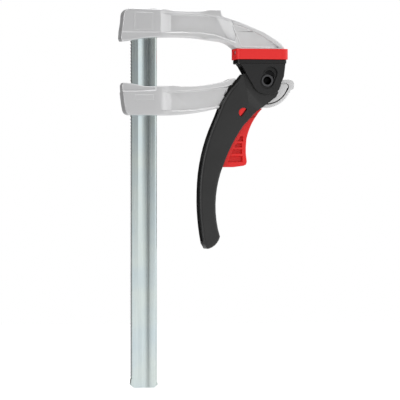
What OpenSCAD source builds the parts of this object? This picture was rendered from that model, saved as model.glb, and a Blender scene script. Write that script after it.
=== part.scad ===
// Lever clamp: a fixed arm and a sliding arm on a flat rail, closed by a ratchet lever.
// X runs from the rail to the jaws, Z runs up along the rail and Y runs across the clamp.
// The origin is the middle of the fixed jaw's clamping face. Every outline lies in the XZ plane.

/* [Rail] */
// Width of the rail across its broad faces
rail_w = 20; // [18:0.5:22]
// Thickness of the rail
rail_t = 5; // [4:0.5:6]
// Height of the rail's top above the fixed jaw's clamping face
rail_up = 37.5; // [37.5:0.5:42]
// Length of the rail below the fixed jaw's clamping face
rail_down = 248.5; // [148.5:1:448.5]
// Distance from the rail to the middle of the jaws
throat = 79.1; // [74.1:1:90.1]
// Distance from one edge tooth to the next
tooth_pitch = 2.45; // [1.8:0.05:3]
// Depth of the edge teeth
tooth_depth = 0.9; // [0.4:0.1:1.1]

/* [Arms] */
// Thickness of both arms at their collars
arm_t = 18; // [17:0.5:19]
// Thickness of the beams at their flanges
flange_t = 16; // [14:0.5:17]
// Thickness of the sunk web between the flanges
web_t = 9; // [6:0.5:11]
// Thickness of the fixed jaw
jaw_t = 21; // [19:0.5:22]
// Play between the rail and the sliding arm, on each side
slide_play = 0.3; // [0.2:0.05:0.5]

/* [Jaws] */
// Width of the fixed jaw's cap across the clamp
cap_w = 25; // [24:0.5:28]
// Length of the fixed jaw's cap
cap_l = 39.8; // [38:0.2:41]
// Width of the moving jaw's pad across the clamp
pad_w = 21.4; // [21:0.2:22]
// Length of the moving jaw's pad
pad_l = 37.8; // [37.4:0.2:39]
// Gap left between the closed jaws
jaw_gap = 0.8; // [0.5:0.1:1.5]

/* [Lever] */
// Angle that the lever swings to open the clamp
lever_swing = 75; // [60:1:75]
// Height that the cams lift the moving jaw
cam_lift = 4.1; // [3:0.1:4.1]
// Lean of the moving jaw's slot from the vertical
slot_lean = 25; // [15:1:28]
// Width of the lever's grip
lever_t = 16; // [15.6:0.2:17]
// Wall thickness of the lever
lever_wall = 2.8; // [2.5:0.1:2.8]
// Angle that the release trigger turns when it is pressed
trigger_swing = 8; // [5:1:8]

/* [Hidden] */
$fn = 48;

alloy_colour = "#c9c9c9";
zinc_colour = "#c4d0d6";
steel_colour = "#8c9094";
black_colour = "#363636";
red_colour = "#e83234";

// Far enough to cut right through any piece
far = 400;
rail_x = -(throat + rail_w / 2);
// Main pivot, and the radii of the tubular rivet that forms it
pivot = [4.2, -16.5];
rivet_r = 3.8;
rivet_bore_r = 2.9;
rivet_flange_r = 4.6;
running_play = 0.06;
// Half thicknesses of the layers on the pivot, from the middle outwards
tail_half = 3.6;
washer_half = 4.2;
cheek_in = 4.3;
cheek_out = 6.6;
cam_out = 5.8;
skirt_in = 6.9;
skirt_out = 9;
flange_floor = 8;
// Ratchet sector round the main pivot
sector_r = 20.5;
sector_tooth = 0.8;
sector_step = 4;
sector_half = 2.4;
rim_half = 3.4;
boss_r = 17.2;
pawl_play = 0.3;
// Release trigger: its pivot is the round side of a D-shaped lug in the lever's side
trigger_pivot = [-13.9, -40.8];
lug_r = 3.6;
trigger_half = 4.9;
// Levels of the moving jaw, down from the fixed jaw's face
pad_low = -3.4;
head_wall_low = -5.4;
thrust_low = -6.4;
cam_play = 0.2;

// Centre of the circle through three points
function centre3(a, b, c) =
    let (d = 2 * (a.x * (b.y - c.y) + b.x * (c.y - a.y) + c.x * (a.y - b.y)))
    [
        ((a * a) * (b.y - c.y) + (b * b) * (c.y - a.y) + (c * c) * (a.y - b.y)) / d,
        ((a * a) * (c.x - b.x) + (b * b) * (a.x - c.x) + (c * c) * (b.x - a.x)) / d
    ];

// Points along the arc from a through b to c, in n steps
function arc3(a, b, c, n) =
    let (
        m = centre3(a, b, c),
        t0 = atan2(a.y - m.y, a.x - m.x),
        t1 = atan2(c.y - m.y, c.x - m.x),
        left = cross(b - a, c - b) > 0,
        turn = left ? (t1 > t0 ? t1 - t0 : t1 - t0 + 360) : (t1 < t0 ? t1 - t0 : t1 - t0 - 360)
    )
    [for (i = [0:n]) m + norm(a - m) * [cos(t0 + turn * i / n), sin(t0 + turn * i / n)]];

// Points round a centre from one angle to another, in n steps
function fan(c, r, from, to, n) = [for (i = [0:n]) c + r * [cos(from + (to - from) * i / n),
                                                           sin(from + (to - from) * i / n)]];

// An XZ outline made into a plate of thickness t, centred on Y = 0
module slab(t) {
    rotate([90, 0, 0]) linear_extrude(t, center = true) children();
}

// The same outline as two plates, on both sides, between two half thicknesses
module cheeks(inner, outer) {
    for (s = [-1, 1])
        translate([0, s * (inner + outer) / 2, 0]) slab(outer - inner) children();
}

// A round bar across the clamp at a point of the XZ plane
module bar(at, r, length) {
    translate([at.x, 0, at.y]) rotate([90, 0, 0]) cylinder(r = r, h = length, center = true);
}

// A rectangle between two corners
module box2(a, b) {
    translate(a) square(b - a);
}

// A pad seen from below: a rectangle with rounded corners
module pad_plan(l, w, r) {
    square([l, w - 2 * r], center = true);
    square([l - 2 * r, w], center = true);
    for (sx = [-1, 1], sy = [-1, 1])
        translate([sx * (l / 2 - r), sy * (w / 2 - r)]) circle(r);
}

// Rail

// Cross-section of the rail: a groove in each face, and a rounded edge towards the jaws
module rail_section() {
    groove_w = 9.4;
    groove_d = 0.9;
    groove_r = (groove_w * groove_w / 4 + groove_d * groove_d) / (2 * groove_d);
    edge_r = 1.9;
    half = rail_w / 2;
    difference() {
        union() {
            translate([-half, -rail_t / 2]) square([rail_w - edge_r, rail_t]);
            translate([0, -rail_t / 2 + edge_r]) square([half, rail_t - 2 * edge_r]);
            for (s = [-1, 1])
                translate([half - edge_r, s * (rail_t / 2 - edge_r)]) circle(edge_r);
        }
        for (s = [-1, 1])
            translate([0, s * (rail_t / 2 - groove_d + groove_r)]) circle(groove_r, $fn = 96);
    }
}

// Side view of the rail: teeth on the edge away from the jaws, chamfered lower corners
module rail_side() {
    half = rail_w / 2;
    chamfer = 2.2;
    teeth_from = -rail_down + 6;
    teeth = floor((rail_up - 6 - teeth_from) / tooth_pitch);
    polygon(concat(
        [[half, rail_up], [half, -rail_down + chamfer], [half - chamfer, -rail_down]],
        [[-half + chamfer, -rail_down], [-half, -rail_down + chamfer], [-half, teeth_from]],
        [for (i = [0:teeth - 1], k = [0, 1])
            [-half + k * tooth_depth, teeth_from + (i + 0.2 + 0.4 * k) * tooth_pitch]],
        [[-half, teeth_from + teeth * tooth_pitch], [-half, rail_up]]
    ));
}

module rail() {
    nib_r = 1.6;
    nib_out = 0.5;
    color(zinc_colour) translate([rail_x, 0, 0]) {
        intersection() {
            translate([0, 0, -far]) linear_extrude(2 * far) rail_section();
            slab(rail_t) rail_side();
        }
        for (s = [-1, 1])
            bar([s * (rail_w / 2 + nib_out - nib_r), -rail_down + 2.9], nib_r, 0.6 * rail_t);
    }
}

// Fixed arm

fixed_top = 37.4;
// Lower end of the jaw's foot, inside the cap
jaw_foot = 3.4;
module fixed_outline() {
    polygon(concat(
        [[rail_x - 18.6, 14.6], [rail_x - 17.6, 12.5]],
        arc3([rail_x - 12, 13.2], [rail_x, 15.1], [rail_x + 14, 16.1], 4),
        arc3([-66.7, 16.2], [-52.7, 15.8], [-38.7, 14.2], 4),
        arc3([-33.7, 13.6], [-25.9, 11.9], [-19.3, 7.2], 4),
        [[-18.1, 6.8], [-18.1, jaw_foot], [16.5, jaw_foot], [16.5, 7.4]],
        arc3([17.4, 8.4], [13, 12.8], [7.6, 16.2], 3),
        [[1, 19.9], [-5.9, 23.2]],
        [[-17.6, 28], [-29.2, 31.8], [-30.6, 32.6], [-31.7, 36.9], [-41.3, 36.9], [-42.7, 36.2]],
        arc3([-48.7, 35.9], [-62.7, 35.9], [rail_x + 14, 36.8], 3),
        arc3([rail_x - 10.5, fixed_top], [rail_x - 14.6, 36.2], [rail_x - 16.5, 33], 5),
        [[rail_x - 17, 27]]
    ));
}

// The sunk web of the beam, between the collar and the jaw
module fixed_web_panel() {
    polygon([[rail_x + 11.3, 19.3], [-60.7, 19.8], [-46.7, 19.2], [-35.7, 17.8], [-20.7, 12.6],
             [-20.7, 26.8], [-33.7, 31.3], [-46.7, 33.1], [rail_x + 11.3, 33.4]]);
}

module fixed_arm() {
    collar_end = rail_x + 11.3;
    crease = collar_end + 3.8;
    web_start = collar_end + 8.2;
    jaw_start = -22;
    web_end = [-29.7, 23.3];
    rib_w = 7.5;
    rib_lean = atan2(8.6, 18.4);
    deep = web_t / 2;
    panel = 1;
    color(alloy_colour) difference() {
        slab(jaw_t) fixed_outline();
        for (s = [-1, 1]) scale([1, s, 1]) {
            // The collar, the step down to the flanges and their long rise to the jaw
            linear_extrude(60) polygon([
                [rail_x - 30, arm_t / 2], [collar_end, arm_t / 2], [crease, arm_t / 2 - 0.7],
                [web_start, flange_t / 2], [-46, flange_t / 2], [jaw_start, jaw_t / 2 + 0.01],
                [jaw_start, 30], [rail_x - 30, 30]
            ]);
            // Sunk web, with a sloping face at each end
            intersection() {
                slab(60) fixed_web_panel();
                linear_extrude(60) polygon([[collar_end, arm_t / 2 + 0.01], [crease, deep + 3],
                                            [web_start, deep], [0, deep], [0, 30], [collar_end, 30]]);
                translate([web_end.x, 0, web_end.y]) rotate([0, -rib_lean, 0])
                    translate([0, 0, -40]) linear_extrude(80)
                        polygon([[-80, deep], [0, deep], [rib_w, jaw_t / 2 + 0.01],
                                 [rib_w, 30], [-80, 30]]);
            }
        }
        // Shallow panel in each side of the jaw
        cheeks(jaw_t / 2 - panel, 30)
            polygon(concat([[-15.9, 8.4], [-23.1, 25]], arc3([-20.7, 26], [-2.7, 18.7], [12.7, 8.4], 5)));
        // Slot for the rail, and the scooped underside of the collar
        translate([rail_x - rail_w / 2, -rail_t / 2, -far]) cube([rail_w, rail_t, 2 * far]);
        cheeks(arm_t / 2 - 2.5, 30)
            polygon(concat([[rail_x - 30, 0], [rail_x - 30, 18.2], [rail_x - 17.8, 18.2]],
                           arc3([rail_x - 12, 17.2], [rail_x, 17.9], [rail_x + 8, 18.8], 3),
                           [[rail_x + 12, 18.8], [rail_x + 12, 0]]));
    }
}

module fixed_jaw_cap() {
    cap_h = 7.4;
    color(red_colour) difference() {
        linear_extrude(cap_h) pad_plan(cap_l, cap_w, 3.5);
        slab(jaw_t) fixed_outline();
        // Window in the end wall, which shows the casting
        translate([-30, -6.5, jaw_foot]) cube([20, 13, 2.6]);
        // Lengthwise vee that steadies round work
        translate([-14, 0, 0]) rotate([90, 0, 90]) linear_extrude(28)
            polygon([[-2.6, -0.01], [2.6, -0.01], [0, 1.4]]);
    }
}

// Sliding arm

// The beam stops just short of the lever; only the tail goes on between the lever's cheeks
module sliding_outline() {
    polygon(concat(
        arc3([rail_x - 11.5, -42.9], [rail_x - 13.8, -41.8], [rail_x - 15.2, -39.5], 3),
        [[rail_x - 16.1, -35], [rail_x - 17.1, -26.6], [rail_x - 17.5, -20.4]],
        arc3([rail_x - 16.2, -18.4], [rail_x - 9, -19.4], [rail_x, -21.2], 4),
        arc3([rail_x + 6, -21.3], [rail_x + 13, -20.8], [rail_x + 21, -20.8], 4),
        arc3([-62.7, -21.1], [-46.7, -20.4], [-31.7, -17.8], 5),
        [[-28.1, -17.3], [-23.1, -15]],
        arc3([-19.7, -15.1], [-25.2, -23.6], [-32.8, -37.5], 5),
        arc3([-34.1, -37.7], [-48.7, -40.9], [rail_x + 18, -42.9], 5)
    ));
}

module sliding_web_panel() {
    polygon(concat(
        arc3([rail_x + 11.7, -25.6], [-48.3, -24.1], [-26.7, -21.4], 5),
        [[-18.7, -18], [-18.7, -33.5]],
        arc3([-35.3, -36.4], [-50.7, -38.9], [rail_x + 11.7, -39.4], 5)
    ));
}

// The thin tail that runs between the lever's cheeks, with the boss round the pivot
module tail_outline() {
    polygon(concat(
        [[-21.2, -15.7], [-12.1, -15.7], [-11.3, -19], [pivot.x - 5.7, -17.2]],
        fan(pivot, 5.7, 165, 25, 8),
        [[10.3, -18.9], [19.9, -18.9], [21.2, -19.8], [21.3, -21.2]],
        fan(pivot, boss_r, -19, -118, 15),
        [[-9.7, -34], [-18.2, -34.6], [-33.6, -37.2], [-27, -24.5]]
    ));
}

module sliding_arm() {
    deep = web_t / 2;
    collar_end = rail_x + 11.7;
    crease = collar_end + 4.3;
    web_start = collar_end + 8.7;
    slot_w = rail_w + 2 * slide_play;
    slot_t = rail_t + 2 * slide_play;
    color(alloy_colour) difference() {
        union() {
            slab(arm_t) sliding_outline();
            slab(2 * tail_half) tail_outline();
        }
        for (s = [-1, 1]) scale([1, s, 1]) {
            // The step from the collar down to the flanges
            translate([0, 0, -60]) linear_extrude(60) polygon([
                [collar_end, arm_t / 2 + 0.01], [crease, arm_t / 2 - 0.7], [web_start, flange_t / 2],
                [0, flange_t / 2], [0, 30], [collar_end, 30]
            ]);
            // Sunk web, with a sloping face next to the collar and a drop to the tail
            intersection() {
                slab(60) sliding_web_panel();
                translate([0, 0, -60]) linear_extrude(60) polygon([
                    [collar_end, arm_t / 2 + 0.01], [crease, deep + 3], [web_start, deep],
                    [-28, deep], [-22, tail_half + 0.1], [0, tail_half + 0.1], [0, 30], [collar_end, 30]
                ]);
            }
        }
        // Scooped shoulders above the collar's faces
        cheeks(arm_t / 2 - 2.5, 30) polygon(concat(
            [[rail_x - 30, 0], [rail_x - 30, -25.3], [rail_x - 17.5, -25.3]],
            arc3([rail_x - 8, -25.3], [rail_x, -24.9], [rail_x + 8, -24], 3), [[rail_x + 8, 0]]));
        translate([rail_x - slot_w / 2, -slot_t / 2, -far]) cube([slot_w, slot_t, 2 * far]);
        grip_blank(upper_grip_at);
        grip_blank(lower_grip_at);
        bar(pivot, rivet_r, far);
        // Room for the ratchet sector and its rivets
        sector_blank();
        for (a = sector_rivet_angles)
            bar(pivot + sector_rivet_ring * [cos(a), sin(a)], sector_rivet_r, far);
        // Well for the return spring and the pin that it hooks on
        translate([spring_x - 5, -2.8, -25]) cube([8.2, 5.6, 20]);
        bar([spring_x, arm_hook_z], spring_pin_r, far);
    }
}

grip_l = 6;
grip_w = 5;
grip_d = 2.6;
upper_grip_at = [rail_x - rail_w / 2 - slide_play - grip_d, -26];
lower_grip_at = [rail_x + rail_w / 2 + slide_play, -41.4];

module grip_blank(at) {
    translate([at.x, -grip_w / 2, at.y]) cube([grip_d, grip_w, grip_l]);
}

// A hardened bar with vees across the face that meets the rail
module grip_insert(at, face) {
    vee = 0.5;
    color(steel_colour) difference() {
        grip_blank(at);
        for (i = [0:3])
            translate([at.x + face * grip_d, 0, at.y + (i + 0.5) * grip_l / 4])
                rotate([90, 45, 0]) cube([vee, vee, 2 * grip_w], center = true);
    }
}

module upper_grip_insert() {
    grip_insert(upper_grip_at, 1);
}

module lower_grip_insert() {
    grip_insert(lower_grip_at, 0);
}

// Ratchet sector

sector_from = -3;
sector_to = -115;
sector_rivet_angles = [-62, -98];
sector_rivet_ring = 13.6;
sector_rivet_r = 1.25;

module sector_root() {
    polygon(concat(
        fan(pivot, sector_r - sector_tooth, sector_from, sector_to, 24),
        fan(pivot, 11.4, sector_to, sector_from, 14)
    ));
}

module sector_blank() {
    slab(2 * sector_half) sector_root();
    slab(2 * sector_half) hook_outline();
}

module hook_outline() {
    polygon([[16.3, -15.5], [23.7, -15.5], [25.5, -16.5], [26.2, -18.2], [26.1, -21.6],
             [25.4, -22.8], [24, -23.2], [22.6, -25.4], [16.3, -22.5]]);
}

// The rim that stands clear of the arm's boss, with a narrow groove between them
module rim_outline() {
    groove_w = 0.9;
    difference() {
        union() {
            sector_root();
            hook_outline();
        }
        polygon(concat(
            [[-0.7, -18.9 + groove_w], [20.1, -18.9 + groove_w]],
            [[21.5, -19.5], [21.8, -21.4]],
            fan(pivot, boss_r + groove_w, -19, -118, 14)
        ));
    }
}

module ratchet_sector() {
    count = 22;
    first = -25;
    color(alloy_colour) difference() {
        union() {
            slab(2 * sector_half) sector_root();
            slab(2 * sector_half) hook_outline();
            slab(2 * rim_half) rim_outline();
            slab(2 * rim_half) for (i = [0:count - 1]) let (a = first - i * sector_step)
                polygon([
                    pivot + (sector_r - sector_tooth - 0.2) * [cos(a), sin(a)],
                    pivot + sector_r * [cos(a - 0.4), sin(a - 0.4)],
                    pivot + (sector_r - sector_tooth - 0.2) * [cos(a - sector_step),
                                                               sin(a - sector_step)]
                ]);
        }
        for (a = sector_rivet_angles)
            bar(pivot + sector_rivet_ring * [cos(a), sin(a)], sector_rivet_r, far);
    }
}

module sector_rivets() {
    color(steel_colour) for (a = sector_rivet_angles)
        bar(pivot + sector_rivet_ring * [cos(a), sin(a)], sector_rivet_r, 2 * tail_half);
}

// Main pivot

module main_pivot_rivet() {
    flange_t = 0.9;
    flange_in = flange_floor + 0.1;
    bore_d = 4.5;
    bore_floor = flange_in + flange_t - bore_d;
    color(black_colour) difference() {
        union() {
            bar(pivot, rivet_r, 2 * flange_in);
            for (s = [-1, 1]) translate([0, s * (flange_in + flange_t / 2), 0])
                bar(pivot, rivet_flange_r, flange_t);
        }
        // Blind bore at each end, with a coned floor
        for (s = [0, 1]) mirror([0, s, 0]) translate([pivot.x, 0, pivot.y]) rotate([90, 0, 0]) {
            translate([0, 0, bore_floor]) cylinder(r = rivet_bore_r, h = 2 * bore_d);
            translate([0, 0, bore_floor - 1]) cylinder(r1 = 1.2, r2 = rivet_bore_r, h = 1);
        }
    }
}

module pivot_washers() {
    color(steel_colour) for (s = [-1, 1])
        translate([0, s * (tail_half + washer_half) / 2, 0]) difference() {
            bar(pivot, 5.6, washer_half - tail_half);
            bar(pivot, rivet_r, far);
        }
}

// Lever

// Left and right edges of the grip, from the top down
lever_left = concat(
    [[-13.8, -11.4]],
    arc3([-16.4, -14.6], [-24.2, -23.8], [-30.5, -34.4], 5),
    [[-32.1, -38.2], [-33.5, -41.9]],
    arc3([-36.2, -48.3], [-44.3, -72.5], [-47.7, -100], 8),
    arc3([-47.8, -108], [-47.1, -122], [-44.5, -139.9], 5)
);
lever_right = concat(
    [[-43, -142.2], [-41.8, -143.8]],
    arc3([-40.4, -143.8], [-35.2, -140.8], [-31.7, -134.6], 5),
    arc3([-33.3, -128.6], [-35.1, -112], [-33.9, -97.5], 5),
    arc3([-32.9, -92.5], [-25.5, -71], [-13.8, -50.5], 8),
    [[-11.3, -47.8], [-8.7, -45.1], [-6.2, -42.4]]
);
// Step where the grip's face drops back to the thin cheeks
lever_step = arc3([-9.6, -33.5], [-11.4, -23.6], [-13.9, -13], 4);

module grip_outline() {
    polygon(concat(lever_left, lever_right, lever_step));
}

module cheek_outline() {
    polygon(concat(
        [[-16.5, -16], [-13.7, -11.6], [-10.8, -10.7], [-1.7, -10.4], [4.2, -11.2]],
        [[8.8, -13.5], [10.1, -17.5], [13.2, -25.4], [11.6, -28.5], [7.3, -31.9], [0.6, -36.9]],
        [[-3.1, -39.2], [-6.2, -42.4], [-7.5, -43.2], [-12, -35.7], [-14, -23.5]]
    ));
}

// The cheeks are thin round the pivot and thicken to the full grip away from it
module cheek_pair() {
    thicken_dir = [-0.7, -0.71];
    from = 23;
    to = 30;
    grip_half = lever_t / 2;
    intersection() {
        cheeks(cheek_in, grip_half) cheek_outline();
        rotate([0, atan2(-thicken_dir.y, thicken_dir.x), 0]) linear_extrude(far, center = true)
            polygon([[-60, cheek_out], [from, cheek_out], [to, grip_half], [80, grip_half],
                     [80, -grip_half], [to, -grip_half], [from, -cheek_out], [-60, -cheek_out]]);
    }
}

// The room inside the grip, one wall in from its right edge and its step
module grip_hollow() {
    wall = lever_wall;
    polygon(concat(
        [[-30.7, 0], [-17.3, -11], [-16.9, -16], [-14.3, -23.5], [-12.4, -33.5], [-8.9, -42.6]],
        [[-0.7, -40], [-0.7, -82.6], [-30.7 - wall, -82.6]],
        arc3([-35.7, -92.5], [-38, -110], [-36.7, -127], 5),
        [[-35.9, -131], [-35.3, -134.6], [-38.3, -139]],
        [[-41.7, -138.4], [-60.7, -136], [-60.7, 0]]
    ));
}

module lever() {
    spine_top = -59.1;
    spine_low = -77.3;
    rib_t = 1.8;
    rib_back = 5;
    color(black_colour) difference() {
        union() {
            difference() {
                slab(lever_t) grip_outline();
                slab(lever_t - 2 * lever_wall) grip_hollow();
            }
            cheek_pair();
            // Closed stretch of the spine, and the ribs set back inside the lower grip
            slab(lever_t - 1) intersection() {
                polygon(concat(lever_left,
                    [for (i = [len(lever_left) - 1:-1:0]) lever_left[i] + [lever_wall, 0]]));
                box2([-60, spine_low], [-20, spine_top]);
            }
            slab(lever_t - 1) intersection() {
                grip_outline();
                translate([rib_back, 0]) grip_outline();
                union() {
                    box2([-60, -84.8], [-20, -83]);
                    for (z = [-97, -111, -125]) box2([-60, z], [-20, z + rib_t]);
                }
            }
        }
        // Gap of the fork, for the arm's tail and the trigger's core
        slab(2 * cheek_in) box2([-17.7, -48], [29.3, 0]);
        cam_seat();
        bar(pivot, rivet_r + running_play, far);
        // D-shaped windows that carry the trigger's lugs
        cheeks(0, far) d_outline(lug_r + running_play, 0.7);
    }
}

// A circle round the trigger's pivot with a flat on its lower right side
module d_outline(r, flat) {
    flat_dir = -37;
    intersection() {
        translate(trigger_pivot) circle(r);
        translate(trigger_pivot) rotate(flat_dir) box2([-20, -20], [flat, 20]);
    }
}

// Cams

// The cam's edge keeps a flat face level as it turns, and lets it sink evenly with the angle
cam_high = pivot.y * -1 + thrust_low - cam_play;
cam_rate = cam_lift / lever_swing;
function cam_point(a) =
    let (reach = cam_high - cam_rate * (90 - a), slope = cam_rate * 180 / PI)
    pivot + reach * [cos(a), sin(a)] + slope * [-sin(a), cos(a)];

module cam_outline() {
    steps = 14;
    low_angle = 90 - lever_swing;
    translate(pivot) circle(cam_high - cam_lift - 0.05);
    polygon(concat(
        [for (i = [0:steps]) cam_point(low_angle + (118 - low_angle) * i / steps)],
        [[-6.7, -14], [-8.2, -19], [-4.7, -26.5], [0.8, -27], [2.3, -21.5], [pivot.x, pivot.y - 5]]
    ));
}

module cam_seat() {
    cheeks(cheek_in - 0.1, cam_out) cam_outline();
}

module cam_plates() {
    color(steel_colour) difference() {
        cheeks(cheek_in, cam_out) cam_outline();
        bar(pivot, rivet_r + running_play, far);
    }
}

// Release trigger

module trigger_core_outline() {
    translate(trigger_pivot) circle(5.4);
    polygon([[-16.4, -36.8], [-9.7, -38], [-5.1, -38.4], [-0.9, -38], [1.1, -37.5], [1.2, -37.7], [-0.1, -39],
             [-1.6, -40.7], [-3.4, -43.3], [-4.4, -44.8], [-6.2, -46.8], [-12.7, -47], [-19, -44]]);
}

module trigger_grip_outline() {
    polygon(concat(
        arc3([-3.7, -43.5], [-8, -51.2], [-11, -60.6], 5),
        arc3([-11.5, -66.8], [-11.5, -71.5], [-10.9, -76.6], 2),
        arc3([-10.8, -78.2], [-11.4, -80], [-13.3, -81], 2),
        [[-20.7, -82], [-33.2, -82], [-31.2, -72], [-26.7, -62], [-20.7, -53.4], [-12.7, -46.9], [-7.7, -44.4]]
    ));
}

// Cored pockets in the sides of the trigger, each between two ribs
module trigger_pockets() {
    polygon([[-15.8, -58.8], [-13.9, -58.8], [-13.9, -62.4], [-18.2, -62.4]]);
    polygon([[-18.9, -64], [-14.6, -64], [-14.6, -67], [-20.5, -67]]);
    polygon([[-21.4, -68.6], [-14.6, -68.6], [-14.6, -71.8], [-23, -71.8]]);
    polygon([[-23.8, -73.6], [-14.3, -73.6], [-14.1, -78], [-25.5, -78.4]]);
}

module release_trigger() {
    pocket_d = 3.4;
    color(red_colour) difference() {
        union() {
            slab(2 * (cheek_in - 0.4)) trigger_core_outline();
            slab(2 * trigger_half) trigger_grip_outline();
            slab(lever_t - 1) d_outline(lug_r, -0.3);
        }
        cheeks(trigger_half - pocket_d, trigger_half + 1) trigger_pockets();
        slab(pawl_t) pawl_outline();
        bar(pawl_pin_at, pawl_pin_r, far);
        // Groove round the pivot for the spring's coil
        difference() {
            bar(trigger_pivot, 6, 4.8);
            bar(trigger_pivot, 2.2, 4.8);
        }
    }
}

pawl_pin_at = [-4.9, -40];
pawl_pin_r = 0.9;
pawl_t = 4.4;

// Three teeth on the side towards the sector, and a square foot in the trigger
module pawl_outline() {
    tip_r = sector_r + pawl_play;
    root_r = tip_r + sector_tooth;
    count = 3;
    first = -101.4;
    polygon(concat(
        [for (i = [0:count - 1], k = [0, 1])
            let (a = first - (i + 0.9 * k) * sector_step, r = k == 0 ? root_r : tip_r)
            pivot + r * [cos(a), sin(a)]],
        [pivot + root_r * [cos(first - count * sector_step), sin(first - count * sector_step)]],
        [[-6.4, -42.2], [-3.9, -42.2]]
    ));
}

module pawl() {
    color(steel_colour) difference() {
        slab(pawl_t) pawl_outline();
        bar(pawl_pin_at, pawl_pin_r, far);
    }
}

module pawl_pin() {
    color(steel_colour) bar(pawl_pin_at, pawl_pin_r, 2 * (cheek_in - 0.4));
}

// A helix of round wire about the Y axis at a point of the XZ plane, swept as one solid
module coil(at, coil_r, wire_r, turns, length, up) {
    sides = 8;
    steps = 14 * turns;
    ring = [for (i = [0:steps], k = [0:sides - 1])
        let (a = 360 * turns * i / steps, b = 360 * k / sides, r = coil_r + wire_r * cos(b))
        [r * cos(a), r * sin(a), length * (i / steps - 0.5) + wire_r * sin(b)]];
    skin = [for (i = [0:steps - 1], k = [0:sides - 1]) let (j = (k + 1) % sides)
        [i * sides + k, i * sides + j, (i + 1) * sides + j, (i + 1) * sides + k]];
    ends = [[for (k = [sides - 1:-1:0]) k], [for (k = [0:sides - 1]) steps * sides + k]];
    translate([at.x, 0, at.y]) rotate(up) polyhedron(ring, concat(skin, ends), convexity = 8);
}

module trigger_spring() {
    color(steel_colour) coil(trigger_pivot, 3.1, 0.4, 4, 3.6, [90, 0, 0]);
}

// Moving jaw

head_slot_l = cam_lift / cos(slot_lean);
slot_dir = [sin(slot_lean), cos(slot_lean)];

module head_outline() {
    polygon(concat(
        [[18, pad_low], [16.9, -13.4], [14.9, -18], [14.4, -20.6], [13.4, -23], [11.9, -25]],
        [[9.8, -26.5], [7, -27]],
        fan(pivot + [-0.5, 1.2], 11.6, -84, -143, 5),
        [[-12, -11.5], [-13, -9.6], [-15.2, -5.6], [-16.9, pad_low]]
    ));
}

// A slot in line with the moving jaw's travel, extra longer at both ends
module travel_slot(r, extra) {
    end = pivot + (head_slot_l + extra) * slot_dir;
    start = pivot - extra * slot_dir;
    side = r * [cos(slot_lean), -sin(slot_lean)];
    translate(start) circle(r);
    translate(end) circle(r);
    polygon([start - side, start + side, end + side, end - side]);
}

module pressure_head() {
    color(black_colour) difference() {
        // Two skirts and the wall between them, all narrowing downwards
        intersection() {
            union() {
                cheeks(skirt_in, pad_w) head_outline();
                slab(pad_w) intersection() {
                    head_outline();
                    box2([-30, head_wall_low], [30, pad_low]);
                }
            }
            rotate([90, 0, 90]) linear_extrude(far, center = true)
                polygon([[-pad_w / 2, pad_low], [pad_w / 2, pad_low],
                         [skirt_out, -28], [-skirt_out, -28]]);
        }
        cheeks(flange_floor, far) travel_slot(rivet_flange_r + 0.5, 1.5);
        cheeks(0, far) travel_slot(rivet_r + 0.1, 0);
        bar([spring_x, head_hook_z], spring_pin_r, 2 * flange_floor);
    }
}

module head_pad() {
    lip = 1.2;
    color(black_colour) difference() {
        union() {
            translate([0, 0, pad_low]) linear_extrude(-jaw_gap - pad_low)
                pad_plan(pad_l, pad_w, 2);
            for (s = [-1, 1]) translate([s * (pad_l / 2 - lip / 2), 0, -3])
                cube([lip, 12, 1.6], center = true);
        }
        slab(pad_w) intersection() {
            head_outline();
            box2([-30, head_wall_low - 1], [30, pad_low]);
        }
    }
}

module thrust_plate() {
    plate_l = 14;
    color(steel_colour) translate([-6.7, -cheek_out, thrust_low])
        cube([plate_l, 2 * cheek_out, head_wall_low - thrust_low]);
}

spring_x = -7.3;
spring_pin_r = 0.8;
head_hook_z = -8.2;
arm_hook_z = -22.6;

module head_spring_pin() {
    color(steel_colour) bar([spring_x, head_hook_z], spring_pin_r, 2 * flange_floor - 0.4);
}

module arm_spring_pin() {
    color(steel_colour) bar([spring_x, arm_hook_z], spring_pin_r, 2 * tail_half);
}

module head_return_spring() {
    length = head_hook_z - arm_hook_z - 2 * spring_pin_r - 1.2;
    color(steel_colour)
        coil([spring_x, (head_hook_z + arm_hook_z) / 2], 1.9, 0.35, 7, length, [0, 0, 0]);
}

rail();
fixed_arm();
fixed_jaw_cap();
sliding_arm();
upper_grip_insert();
lower_grip_insert();
ratchet_sector();
sector_rivets();
main_pivot_rivet();
pivot_washers();
arm_spring_pin();
lever();
cam_plates();
trigger_spring();
release_trigger();
pawl();
pawl_pin();
pressure_head();
head_pad();
thrust_plate();
head_spring_pin();
head_return_spring();
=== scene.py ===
# Lever clamp: a fixed arm and a sliding arm on a flat rail, closed by a ratchet lever.
# The pieces follow the order in which the clamp is put together, from the rail out to the jaw.
import math

import bmesh
import bpy
from mathutils import Matrix, Vector


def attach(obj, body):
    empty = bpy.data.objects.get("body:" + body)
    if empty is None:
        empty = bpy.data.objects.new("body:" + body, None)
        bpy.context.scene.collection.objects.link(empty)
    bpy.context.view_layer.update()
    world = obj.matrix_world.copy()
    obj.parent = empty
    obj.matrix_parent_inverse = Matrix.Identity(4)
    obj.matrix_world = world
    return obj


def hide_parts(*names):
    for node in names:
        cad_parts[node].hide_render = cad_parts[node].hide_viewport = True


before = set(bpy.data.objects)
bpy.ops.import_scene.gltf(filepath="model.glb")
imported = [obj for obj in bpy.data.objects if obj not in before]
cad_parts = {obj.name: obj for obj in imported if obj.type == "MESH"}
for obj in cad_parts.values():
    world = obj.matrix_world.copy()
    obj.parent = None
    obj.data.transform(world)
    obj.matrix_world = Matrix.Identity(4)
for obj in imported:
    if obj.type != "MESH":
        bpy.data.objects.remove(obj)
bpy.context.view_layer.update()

MM = 0.001

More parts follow.
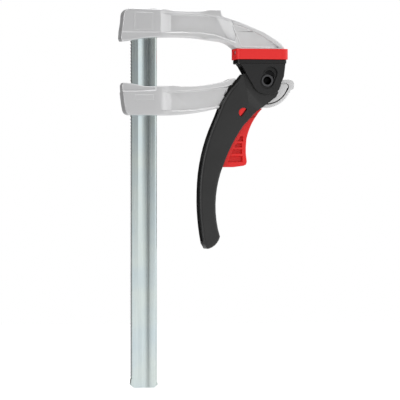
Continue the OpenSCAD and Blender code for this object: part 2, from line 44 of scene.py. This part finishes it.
# Camera: level with the middle of the rail, turned ten degrees to the rail's side, from far
# enough away that the clamp shows almost without perspective.
view_middle = Vector((-46, 0, -106.9)) * MM
view_width = 302.8 * MM
view_turn = math.radians(-10)
view_distance = 2.4
sensor_width = 36
camera = bpy.data.objects.new("camera", bpy.data.cameras.new("camera"))
camera.data.sensor_width = sensor_width
camera.data.lens = sensor_width * view_distance / view_width
camera.data.clip_end = 20
camera.location = view_middle + view_distance * Vector((math.sin(view_turn), -math.cos(view_turn), 0))
camera.rotation_euler = (math.radians(90), 0, view_turn)
bpy.context.scene.collection.objects.link(camera)
bpy.context.scene.camera = camera
bpy.context.scene.view_settings.view_transform = "Standard"


# Studio: a white table, a white room, grey cards round it and soft lamps. The camera and the
# reflections see the room as plain white, while its own light on the clamp is softer than that.
def linear(code):
    """An sRGB hex colour as the linear colour that a shader takes"""
    parts = [int(code[i:i + 2], 16) / 255 for i in (1, 3, 5)]
    return (*(p / 12.92 if p <= 0.04045 else ((p + 0.055) / 1.055) ** 2.4 for p in parts), 1)


def add(tree, kind, inputs=None, **settings):
    """Adds a shader node with its settings, and fills its inputs with values or links"""
    made = tree.nodes.new("ShaderNode" + kind)
    for name, value in settings.items():
        setattr(made, name, value)
    for socket, value in (inputs or {}).items():
        if isinstance(value, bpy.types.NodeSocket):
            tree.links.new(value, made.inputs[socket])
        else:
            made.inputs[socket].default_value = value
    return made


def blend(tree, share, first, second):
    """A mix of two colours, each a value or a link"""
    return add(tree, "Mix", {0: share, 6: first, 7: second}, data_type="RGBA")


def new_material(name):
    """An empty material and its node tree"""
    made = bpy.data.materials.new(name)
    made.use_nodes = True
    made.node_tree.nodes.clear()
    return made, made.node_tree


room = bpy.data.worlds.new("white_room")
room.use_nodes = True
room.node_tree.nodes.clear()
bpy.context.scene.world = room
ray = add(room.node_tree, "LightPath")
seen = add(room.node_tree, "Math", {0: ray.outputs["Is Camera Ray"], 1: ray.outputs["Is Glossy Ray"]},
           operation="MAXIMUM")
seen = add(room.node_tree, "Math", {0: seen.outputs[0], 1: ray.outputs["Is Transmission Ray"]},
           operation="MAXIMUM")
strength = add(room.node_tree, "MapRange", {"Value": seen.outputs[0], "To Min": 0.7, "To Max": 1.0})
walls = add(room.node_tree, "Background", {"Color": linear("#ffffff"), "Strength": strength.outputs[0]})
add(room.node_tree, "OutputWorld", {"Surface": walls.outputs[0]})

# The table is low enough for the opened lever to clear it when the slide is down.
table_height = -320
table_mesh = bmesh.new()
bmesh.ops.create_grid(table_mesh, x_segments=1, y_segments=1, size=3)
bmesh.ops.translate(table_mesh, verts=table_mesh.verts, vec=(0, 0, table_height * MM))
table_data = bpy.data.meshes.new("table_top")
table_mesh.to_mesh(table_data)
table_mesh.free()
table_top = bpy.data.objects.new("table_top", table_data)
bpy.context.scene.collection.objects.link(table_top)

# Matt white laminate. What the camera sees of it is lifted to the white of the room, and the
# clamp's shadow stays on it.
laminate, tree = new_material("matt_white_laminate")
ray = add(tree, "LightPath")
surface = add(tree, "BsdfDiffuse", {"Color": linear("#f2f2f2")})
lift_share = 0.42
lift = add(tree, "Math", {0: ray.outputs["Is Camera Ray"], 1: lift_share}, operation="MULTIPLY")
lift = add(tree, "Emission", {"Color": linear("#ffffff"), "Strength": lift.outputs[0]})
both = add(tree, "AddShader", {0: surface.outputs[0], 1: lift.outputs[0]})
add(tree, "OutputMaterial", {"Surface": both.outputs[0]})
table_data.materials.append(laminate)

# Cards that only reflections see. The one across the front is dark at the height of the jaws and
# fades to white lower down. The black one at the rail's side draws dark left edges, and the pale
# one at the lever's side keeps slopes that face it from clipping.
def hang_card(name, place, turn, width, height, material):
    """An upright card that the camera and the lamps pass through"""
    mesh = bmesh.new()
    bmesh.ops.create_grid(mesh, x_segments=1, y_segments=1, size=0.5)
    bmesh.ops.scale(mesh, verts=mesh.verts, vec=(width, height, 1))
    bmesh.ops.transform(mesh, verts=mesh.verts, matrix=Matrix.Rotation(math.radians(90), 4, "X"))
    data = bpy.data.meshes.new(name)
    mesh.to_mesh(data)
    mesh.free()
    data.materials.append(material)
    card = bpy.data.objects.new(name, data)
    card.location = place
    card.rotation_euler = (0, 0, math.radians(turn))
    card.visible_camera = False
    card.visible_diffuse = False
    card.visible_shadow = False
    bpy.context.scene.collection.objects.link(card)


card_paint, tree = new_material("graduated_grey_card")
spot = add(tree, "SeparateXYZ", {0: add(tree, "TexCoord").outputs["Object"]})
low = add(tree, "MapRange", {"Value": spot.outputs["X"], "From Min": -0.18, "From Max": 0.12,
                             "To Min": 0.2, "To Max": 1.05})
high = add(tree, "MapRange", {"Value": spot.outputs["X"], "From Min": 0.16, "From Max": 0.34,
                              "To Min": 0.1, "To Max": 0.55})
fade = add(tree, "MapRange", {"Value": spot.outputs["Z"], "From Min": -0.64, "From Max": -0.36,
                              "To Min": low.outputs[0], "To Max": high.outputs[0]})
glow = add(tree, "Emission", {"Color": linear("#ffffff"), "Strength": fade.outputs[0]})
add(tree, "OutputMaterial", {"Surface": glow.outputs[0]})
hang_card("front_card", (-0.17, -0.8, 0.4), 0, 0.84, 1.4, card_paint)

side_cards = [
    ("left_card", (-0.5, 0.43, 0), 49, 1.51, 0.01),
    ("right_card", (0.85, -0.1, 0.1), 90, 1.2, 0.8),
]
for name, place, turn, width, strength in side_cards:
    flag_paint, tree = new_material(name + "_paint")
    glow = add(tree, "Emission", {"Color": linear("#ffffff"), "Strength": strength})
    add(tree, "OutputMaterial", {"Surface": glow.outputs[0]})
    hang_card(name, place, turn, width, 1.2, flag_paint)

lamps = [
    ("right_lamp", (1.35, -0.25, 0.15), 1.0, 4.2),
    ("left_lamp", (-1.3, -0.5, 0.2), 0.6, 2.0),
    ("top_lamp", (0.05, -0.1, 1.2), 0.7, 4.8),
]
for name, place, size, power in lamps:
    lamp = bpy.data.lights.new(name, "AREA")
    lamp.size = size
    lamp.energy = power
    holder = bpy.data.objects.new(name, lamp)
    holder.location = place
    holder.rotation_euler = (view_middle - Vector(place)).to_track_quat("-Z", "Y").to_euler()
    bpy.context.scene.collection.objects.link(holder)


# Rail: a cold-drawn flat steel bar of 20 x 5 mm with a shallow groove down each broad face and
# fine teeth on its back edge, bright zinc plated. Its lower end is crimped, so no arm slides off.
def cad_copy(node):
    """A bmesh of a CAD node, with its triangles merged back into whole faces"""
    mesh = bmesh.new()
    mesh.from_mesh(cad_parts[node].data)
    bmesh.ops.remove_doubles(mesh, verts=mesh.verts, dist=0.002 * MM)
    bmesh.ops.dissolve_limit(mesh, angle_limit=math.radians(1), verts=mesh.verts, edges=mesh.edges)
    return mesh


def sharp_edges(mesh, chosen=None, over=25):
    """The edges whose faces meet at more than an angle, and whose ends the test takes"""
    edges = [e for e in mesh.edges if e.is_manifold and e.calc_face_angle() > math.radians(over)]
    return [e for e in edges if chosen is None or chosen((e.verts[0].co + e.verts[1].co) / 2 / MM, e)]


def round_edges(mesh, edges, radius, segments=3):
    """Rounds edges off to a radius in millimetres"""
    bmesh.ops.bevel(mesh, geom=edges, offset=radius * MM, offset_type="OFFSET", segments=segments,
                    profile=0.5, affect="EDGES", clamp_overlap=False, material=-1)


def finish_piece(mesh, name, material, body, slot, *nodes, crease=38):
    """Makes a bmesh the shown piece for some CAD nodes, smooth but for its creases"""
    data = bpy.data.meshes.new(name)
    bmesh.ops.recalc_face_normals(mesh, faces=mesh.faces)
    mesh.to_mesh(data)
    mesh.free()
    data.shade_smooth()
    data.set_sharp_from_angle(angle=math.radians(crease))
    data.materials.append(material)
    piece = bpy.data.objects.new(name, data)
    bpy.context.scene.collection.objects.link(piece)
    even = piece.modifiers.new("even_faces", "WEIGHTED_NORMAL")
    even.keep_sharp = True
    even.weight = 80
    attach(piece, body)
    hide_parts(*nodes)
    return piece


def paint(nodes, material):
    """Gives CAD nodes that stay as they are a material"""
    for node in nodes:
        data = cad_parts[node].data
        data.materials.clear()
        data.materials.append(material)


# Bright zinc plating on drawn steel: cold and bluish, glossy along fine draw lines, with faint
# patches where the clear chromate film turns from blue towards straw.
zinc, tree = new_material("bright_zinc_plating")
place = add(tree, "TexCoord").outputs["Object"]
line_gap = 0.7 * MM
line_length = 60 * MM
along = add(tree, "Mapping", {"Vector": place,
                              "Scale": (1 / line_gap, 1 / line_gap, 1 / line_length)})
lines = add(tree, "TexNoise", {"Vector": along.outputs[0], "Scale": 1.0, "Detail": 3.0})
patches = add(tree, "TexNoise", {"Vector": place, "Scale": 1 / (28 * MM), "Detail": 2.0})
tint = add(tree, "MapRange", {"Value": patches.outputs[0], "From Min": 0.35, "From Max": 0.65})
colour = blend(tree, tint.outputs[0], linear("#d6e3e6"), linear("#dfe9e6"))
gloss = add(tree, "MapRange", {"Value": lines.outputs[0], "From Min": 0.3, "From Max": 0.7,
                               "To Min": 0.18, "To Max": 0.28})
relief = add(tree, "Bump", {"Height": lines.outputs[0], "Strength": 0.25, "Distance": 0.02 * MM})
steel = add(tree, "BsdfPrincipled", {"Base Color": colour.outputs[2], "Metallic": 1.0,
                                     "Roughness": gloss.outputs[0], "Normal": relief.outputs[0]})
add(tree, "OutputMaterial", {"Surface": steel.outputs[0]})

finish_piece(cad_copy("rail"), "rail_bar", zinc, "frame", "zinc_plated_steel", "rail", crease=30)


# Fixed arm: a pressure die casting pressed on to the rail's top, with a sunk web between a
# collar and the jaw. Its edges are rounded by the mould and its skin is satin and finely grained.
rail_x = -89.1
pivot_x, pivot_z = 4.2, -16.5


def multiply(tree, first, second):
    """The product of two numbers, each a value or a link"""
    return add(tree, "Math", {0: first, 1: second}, operation="MULTIPLY")


def distance_from_pivot(tree, place):
    """The distance from the main pivot's axis in millimetres"""
    flat = add(tree, "Mapping", {"Vector": place, "Scale": (1 / MM, 0, 1 / MM),
                                 "Location": (-pivot_x, 0, -pivot_z)})
    return add(tree, "VectorMath", {0: flat.outputs[0]}, operation="LENGTH").outputs["Value"]


alloy, tree = new_material("die_cast_aluminium")
place = add(tree, "TexCoord").outputs["Object"]
grain = add(tree, "TexNoise", {"Vector": place, "Scale": 1 / (0.9 * MM), "Detail": 3.0, "Roughness": 0.6})
flow = add(tree, "TexNoise", {"Vector": place, "Scale": 1 / (14 * MM), "Detail": 2.0})
shade = add(tree, "MapRange", {"Value": flow.outputs[0], "From Min": 0.3, "From Max": 0.7})
colour = blend(tree, shade.outputs[0], linear("#e6e6e6"), linear("#ededee"))
spot = add(tree, "SeparateXYZ", {0: place})
# Painted shade: the collars are coloured a little darker than the arms, as the shade on the rail's side away
# from the right lamp.
collar_shade = add(tree, "MapRange", {"Value": spot.outputs["X"], "From Min": -82 * MM, "From Max": -62 * MM})
colour = blend(tree, collar_shade.outputs[0], linear("#dededf"), colour.outputs[2])
# Painted shade darkens the flanks of the tail between the lever's cheeks and the floor of the sector's
# groove, where these gaps lie in shadow.
depth = add(tree, "Math", {0: spot.outputs["Y"]}, operation="ABSOLUTE")
tail = add(tree, "MapRange", {"Value": spot.outputs["X"], "From Min": -33 * MM, "From Max": -28 * MM})
tail_end = add(tree, "Math", {0: spot.outputs["X"], 1: -4 * MM}, operation="LESS_THAN")
tail = multiply(tree, tail.outputs[0], tail_end.outputs[0])
groove_r, groove_half = 17.65, 0.65
ring = add(tree, "Math", {0: distance_from_pivot(tree, place), 1: groove_r, 2: groove_half},
           operation="COMPARE")
sunk = add(tree, "Math", {0: depth.outputs[0], 1: 3.3 * MM}, operation="LESS_THAN")
ring = multiply(tree, ring.outputs[0], sunk.outputs[0])
gap_shade = add(tree, "Math", {0: tail.outputs[0], 1: ring.outputs[0]}, operation="MAXIMUM")
deep = add(tree, "Math", {0: depth.outputs[0], 1: 4.1 * MM}, operation="LESS_THAN")
gap_shade = multiply(tree, gap_shade.outputs[0], deep.outputs[0])
low = add(tree, "Math", {0: spot.outputs["Z"], 1: -5 * MM}, operation="LESS_THAN")
gap_shade = multiply(tree, gap_shade.outputs[0], low.outputs[0])
colour = blend(tree, gap_shade.outputs[0], colour.outputs[2], linear("#3c3a37"))
gloss = add(tree, "MapRange", {"Value": grain.outputs[0], "From Min": 0.3, "From Max": 0.7,
                               "To Min": 0.32, "To Max": 0.44})
relief = add(tree, "Bump", {"Height": grain.outputs[0], "Strength": 0.3, "Distance": 0.05 * MM})
skin = add(tree, "BsdfPrincipled", {"Base Color": colour.outputs[2], "Metallic": 0.55,
                                    "Roughness": gloss.outputs[0], "Normal": relief.outputs[0]})
add(tree, "OutputMaterial", {"Surface": skin.outputs[0]})


def in_slot(p):
    """Whether a point is in a collar's slot for the rail"""
    return abs(p.x - rail_x) < 10.4 and abs(p.y) < 2.8


def on_band(p, e):
    """Whether an edge lies along the step of a collar or across its pocket, and is kept crisp"""
    lengthwise = abs((e.verts[0].co - e.verts[1].co).normalized().x) > 0.8
    by_step = -106 < p.x < -72 and abs(p.y) > 7 and (18.5 < p.z < 20.5 or -26 < p.z < -24.9)
    in_pocket = -80 < p.x < -60 and abs(p.y) < 8.7 and -42 < p.z < -27
    return by_step and lengthwise or in_pocket and not lengthwise


def add_plates(mesh, left, right, low, high):
    """A blank raised plate on each side of a collar, sunk into its wall"""
    sunk, proud = 8.5, 9.4
    for side in (-1, 1):
        made = bmesh.ops.create_cube(mesh, size=1)["verts"]
        bmesh.ops.scale(mesh, verts=made, vec=((right - left) * MM, (proud - sunk) * MM, (high - low) * MM))
        bmesh.ops.translate(mesh, verts=made, vec=((left + right) / 2 * MM, side * (proud + sunk) / 2 * MM,
                                                   (low + high) / 2 * MM))
        rims = {e for v in made for e in v.link_edges}
        round_edges(mesh, list(rims), 0.3, 2)


fixed_mesh = cad_copy("fixed_arm")
# The collar's low band, level with the arm's flange, under a sloping edge.
slope_top = Vector((0, 0, 20.1)) * MM
slope_foot, band_top = 19.4, 18.9
slope_half, band_half = 8.7, 8.1
proud = [f for f in fixed_mesh.faces if abs(f.calc_center_median().y) > 8.9 * MM]
parts = {part for f in proud for part in (f, *f.edges, *f.verts)}
bmesh.ops.bisect_plane(fixed_mesh, geom=list(parts), plane_co=slope_top, plane_no=(0, 0, 1), dist=0.001 * MM)
for vert in fixed_mesh.verts:
    p = vert.co / MM
    if p.x < -77 and p.z < 19 and abs(p.y) > 6.4:
        if abs(p.y) > 8.95:
            vert.co.z = (19.25 if p.x > -78 else slope_foot) * MM
            vert.co.y = math.copysign(slope_half * MM, p.y)
        else:
            vert.co.y = math.copysign(band_half * MM, p.y)
            if p.z > 17:
                vert.co.z = band_top * MM
bmesh.ops.remove_doubles(fixed_mesh, verts=fixed_mesh.verts, dist=0.02 * MM)
round_edges(fixed_mesh, sharp_edges(fixed_mesh, lambda p, e: not in_slot(p) and not on_band(p, e)
                                    and e.calc_length() > 1.2 * MM), 0.9)
add_plates(fixed_mesh, -97.4, -83.4, 21.1, 34.4)
finish_piece(fixed_mesh, "fixed_arm_casting", alloy, "frame", "cast_alloy", "fixed_arm")

# Fixed jaw's cap: a red plastic moulding snapped over the foot of the casting. Its end wall has
# a window with the casting behind it, and its face has a lengthwise vee for round work.
red, tree = new_material("red_moulded_plastic")
place = add(tree, "TexCoord").outputs["Object"]
fine = add(tree, "TexNoise", {"Vector": place, "Scale": 1 / (0.6 * MM), "Detail": 2.0})
relief = add(tree, "Bump", {"Height": fine.outputs[0], "Strength": 0.15, "Distance": 0.03 * MM})
plastic = add(tree, "BsdfPrincipled", {"Base Color": linear("#f4211f"), "Roughness": 0.42, "IOR": 1.49,
                                       "Normal": relief.outputs[0]})
add(tree, "OutputMaterial", {"Surface": plastic.outputs[0]})

# The clamping face is painted a darker, matt red as the shade in the gap between the cap and the pad.
red_shade, tree = new_material("shaded_red_plastic")
place = add(tree, "TexCoord").outputs["Object"]
fine = add(tree, "TexNoise", {"Vector": place, "Scale": 1 / (2 * MM), "Detail": 3.0})
colour = blend(tree, fine.outputs[0], linear("#a8201f"), linear("#c02321"))
plastic = add(tree, "BsdfPrincipled", {"Base Color": colour.outputs[2], "Roughness": 0.9,
                                       "Specular IOR Level": 0.0})
add(tree, "OutputMaterial", {"Surface": plastic.outputs[0]})

cap_mesh = cad_copy("fixed_jaw_cap")
# Its lips reach down to the pad, which they touch in the photo.
lip = 0.5
for vert in cap_mesh.verts:
    if vert.co.z < 0.1 * MM:
        vert.co.z -= lip * MM
round_edges(cap_mesh, sharp_edges(cap_mesh, lambda p, e: e.calc_length() > 1 * MM), 0.5)
# The cap's downward faces take the painted shade.
for face in cap_mesh.faces:
    face.material_index = int(face.normal.z < -0.6 and face.calc_center_median().z < 2 * MM)
jaw_cap = finish_piece(cap_mesh, "fixed_jaw_red_cap", red, "frame", "red_plastic", "fixed_jaw_cap")
jaw_cap.data.materials.append(red_shade)

# Sliding arm: a second die casting, which runs loosely on the rail and ends in a thin tail
# between the lever's cheeks. The tail carries the main pivot.
sliding_mesh = cad_copy("sliding_arm")
round_edges(sliding_mesh, sharp_edges(sliding_mesh, lambda p, e: p.x < -17 and not in_slot(p)
                                      and not on_band(p, e) and e.calc_length() > 1.2 * MM), 0.8)
add_plates(sliding_mesh, -97.1, -82.9, -31.9, -27.7)
finish_piece(sliding_mesh, "sliding_arm_casting", alloy, "sliding_jaw", "cast_alloy", "sliding_arm")

# Grip inserts: two hardened bars let into the sliding collar. They bite on the rail's edges
# when the arm is loaded.
hard_steel, tree = new_material("ground_hardened_steel")
place = add(tree, "TexCoord").outputs["Object"]
scratch_length = 5 * MM
scratch_gap = 0.2 * MM
scratches = add(tree, "Mapping", {"Vector": place,
                                  "Scale": (1 / scratch_length, 1 / scratch_length, 1 / scratch_gap)})
lines = add(tree, "TexNoise", {"Vector": scratches.outputs[0], "Scale": 1.0, "Detail": 2.0})
gloss = add(tree, "MapRange", {"Value": lines.outputs[0], "To Min": 0.25, "To Max": 0.45})
steel = add(tree, "BsdfPrincipled", {"Base Color": linear("#9a9da0"), "Metallic": 1.0,
                                     "Roughness": gloss.outputs[0]})
add(tree, "OutputMaterial", {"Surface": steel.outputs[0]})
paint(["upper_grip_insert", "lower_grip_insert", "sector_rivets", "arm_spring_pin", "pawl", "pawl_pin",
       "thrust_plate", "head_spring_pin"], hard_steel)

# Ratchet sector: a cast arc of fine teeth with a stop hook, riveted into the arm's tail.
sector_mesh = cad_copy("ratchet_sector")
round_edges(sector_mesh, sharp_edges(sector_mesh, lambda p, e: p.x > 17.5 and p.z > -24
                                     and e.calc_length() > 1 * MM), 0.5)
finish_piece(sector_mesh, "ratchet_sector_arc", alloy, "sliding_jaw", "cast_alloy", "ratchet_sector")

# Main pivot: a tubular rivet of blackened steel through the head, the lever and the arm. Its
# ends are flared over the head's skirts.
black_steel, tree = new_material("blackened_steel")
place = add(tree, "TexCoord").outputs["Object"]
cloud = add(tree, "TexNoise", {"Vector": place, "Scale": 1 / (2 * MM), "Detail": 3.0})
gloss = add(tree, "MapRange", {"Value": cloud.outputs[0], "To Min": 0.3, "To Max": 0.5})
# The bore is painted near black as the shade inside the hole, and the flared ends keep the steel's own grey.
bore_shade = add(tree, "MapRange", {"Value": distance_from_pivot(tree, place), "From Min": 3.0, "From Max": 3.3})
colour = blend(tree, bore_shade.outputs[0], linear("#161617"), linear("#5a5a5c"))
steel = add(tree, "BsdfPrincipled", {"Base Color": colour.outputs[2], "Metallic": 0.9,
                                     "Roughness": gloss.outputs[0]})
add(tree, "OutputMaterial", {"Surface": steel.outputs[0]})

rivet_mesh = cad_copy("main_pivot_rivet")
round_edges(rivet_mesh, sharp_edges(rivet_mesh, lambda p, e: abs(p.y) > 8.2), 0.3)
finish_piece(rivet_mesh, "main_tubular_rivet", black_steel, "sliding_jaw", "black_steel", "main_pivot_rivet")

# Cams and washers: a steel cam in each cheek of the lever, and a washer on each side of the
# arm's boss, phosphated and oiled.
dark_steel, tree = new_material("phosphated_steel")
place = add(tree, "TexCoord").outputs["Object"]
cloud = add(tree, "TexNoise", {"Vector": place, "Scale": 1 / (2 * MM), "Detail": 3.0})
gloss = add(tree, "MapRange", {"Value": cloud.outputs[0], "To Min": 0.4, "To Max": 0.6})
steel = add(tree, "BsdfPrincipled", {"Base Color": linear("#2a2a2b"), "Metallic": 0.9,
                                     "Roughness": gloss.outputs[0]})
add(tree, "OutputMaterial", {"Surface": steel.outputs[0]})
paint(["cam_plates", "pivot_washers"], dark_steel)

# Lever: a hollow handle of black glass-filled plastic, open on the rail's side, forked at the
# top round the arm's tail. Its outer edges are well rounded for the hand.
black, tree = new_material("black_glass_filled_plastic")
place = add(tree, "TexCoord").outputs["Object"]
grain = add(tree, "TexNoise", {"Vector": place, "Scale": 1 / (0.7 * MM), "Detail": 3.0, "Roughness": 0.6})
bloom = add(tree, "TexNoise", {"Vector": place, "Scale": 1 / (16 * MM), "Detail": 2.0})
shade = add(tree, "MapRange", {"Value": bloom.outputs[0], "From Min": 0.3, "From Max": 0.7})
colour = blend(tree, shade.outputs[0], linear("#222222"), linear("#272727"))
gloss = add(tree, "MapRange", {"Value": grain.outputs[0], "From Min": 0.3, "From Max": 0.7,
                               "To Min": 0.3, "To Max": 0.42})
relief = add(tree, "Bump", {"Height": grain.outputs[0], "Strength": 0.3, "Distance": 0.03 * MM})
plastic = add(tree, "BsdfPrincipled", {"Base Color": colour.outputs[2], "Roughness": gloss.outputs[0],
                                       "IOR": 1.53, "Normal": relief.outputs[0]})
add(tree, "OutputMaterial", {"Surface": plastic.outputs[0]})

lever_half = 8
lug_x, lug_z = -13.9, -40.8


def on_face(p, e):
    """Whether an edge lies on one of the lever's broad faces"""
    return abs(p.y) > lever_half - 0.1 and e.calc_length() > 0.4 * MM


def by_window(p):
    """Whether a point is on the rim of the trigger's window"""
    return math.hypot(p.x - lug_x, p.z - lug_z) < 5


def on_step(p):
    """Whether a point is on the step below the head's skirts"""
    return p.x > -15 and p.z > -34


def on_left(p):
    """Whether a point is on the lever's outline at the rail's side"""
    upper = p.z > -36
    middle = p.z > -75 and p.x < -29 + (p.z + 36) * 0.45
    lower = p.z < -70 and p.x < -43
    return p.x < -15.5 and (upper or middle or lower)


lever_mesh = cad_copy("lever")
round_edges(lever_mesh, sharp_edges(lever_mesh, lambda p, e: on_face(p, e) and on_left(p)), 2.4, 5)
round_edges(lever_mesh, sharp_edges(lever_mesh, lambda p, e: on_face(p, e) and not on_left(p)
                                    and p.z < -83), 2, 4)
round_edges(lever_mesh, sharp_edges(lever_mesh, lambda p, e: on_face(p, e) and -82 < p.z < -34
                                    and p.x > -32 and not by_window(p)), 0.8)
round_edges(lever_mesh, sharp_edges(lever_mesh, lambda p, e: on_face(p, e)
                                    and (by_window(p) or on_step(p))), 0.3, 2)
finish_piece(lever_mesh, "lever_handle", black, "lever", "black_plastic", "lever")

# Springs: a torsion spring round the trigger's hub and a tension spring that pulls the head
# back, both coiled from drawn wire.
wire, tree = new_material("drawn_spring_wire")
place = add(tree, "TexCoord").outputs["Object"]
cloud = add(tree, "TexNoise", {"Vector": place, "Scale": 1 / (1.5 * MM), "Detail": 2.0})
gloss = add(tree, "MapRange", {"Value": cloud.outputs[0], "To Min": 0.22, "To Max": 0.4})
steel = add(tree, "BsdfPrincipled", {"Base Color": linear("#8f9194"), "Metallic": 1.0,
                                     "Roughness": gloss.outputs[0]})
add(tree, "OutputMaterial", {"Surface": steel.outputs[0]})
paint(["trigger_spring", "head_return_spring"], wire)

# Release trigger: a red moulding cored between ribs to save plastic. It turns on two D-shaped
# lugs that show in the lever's windows.
trigger_mesh = cad_copy("release_trigger")
round_edges(trigger_mesh, sharp_edges(trigger_mesh, lambda p, e: p.z < -43 and abs(p.y) > 4.7
                                      and e.calc_length() > 1 * MM), 0.5)
finish_piece(trigger_mesh, "release_trigger_moulding", red, "trigger", "red_plastic", "release_trigger")

# Pressure head: a black moulding with a skirt down each side of the lever, which slides on the
# rivet along a leaning slot.
dark_black, tree = new_material("black_moulded_plastic")
place = add(tree, "TexCoord").outputs["Object"]
grain = add(tree, "TexNoise", {"Vector": place, "Scale": 1 / (0.8 * MM), "Detail": 2.0})
gloss = add(tree, "MapRange", {"Value": grain.outputs[0], "From Min": 0.3, "From Max": 0.7,
                               "To Min": 0.3, "To Max": 0.4})
relief = add(tree, "Bump", {"Height": grain.outputs[0], "Strength": 0.2, "Distance": 0.03 * MM})
plastic = add(tree, "BsdfPrincipled", {"Base Color": linear("#131314"), "Roughness": gloss.outputs[0],
                                       "IOR": 1.5, "Normal": relief.outputs[0]})
add(tree, "OutputMaterial", {"Surface": plastic.outputs[0]})

head_mesh = cad_copy("pressure_head")
round_edges(head_mesh, sharp_edges(head_mesh, lambda p, e: abs(p.y) > 8.9
                                   and e.calc_length() > 1 * MM), 0.4)
finish_piece(head_mesh, "pressure_head_moulding", dark_black, "moving_jaw", "black_plastic", "pressure_head")

# Head's pad: the black face of the moving jaw, a separate moulding snapped over the head's
# flange.
pad_mesh = cad_copy("head_pad")
round_edges(pad_mesh, sharp_edges(pad_mesh, lambda p, e: e.calc_length() > 1 * MM), 0.5)
finish_piece(pad_mesh, "moving_jaw_pad", dark_black, "moving_jaw", "black_plastic", "head_pad")
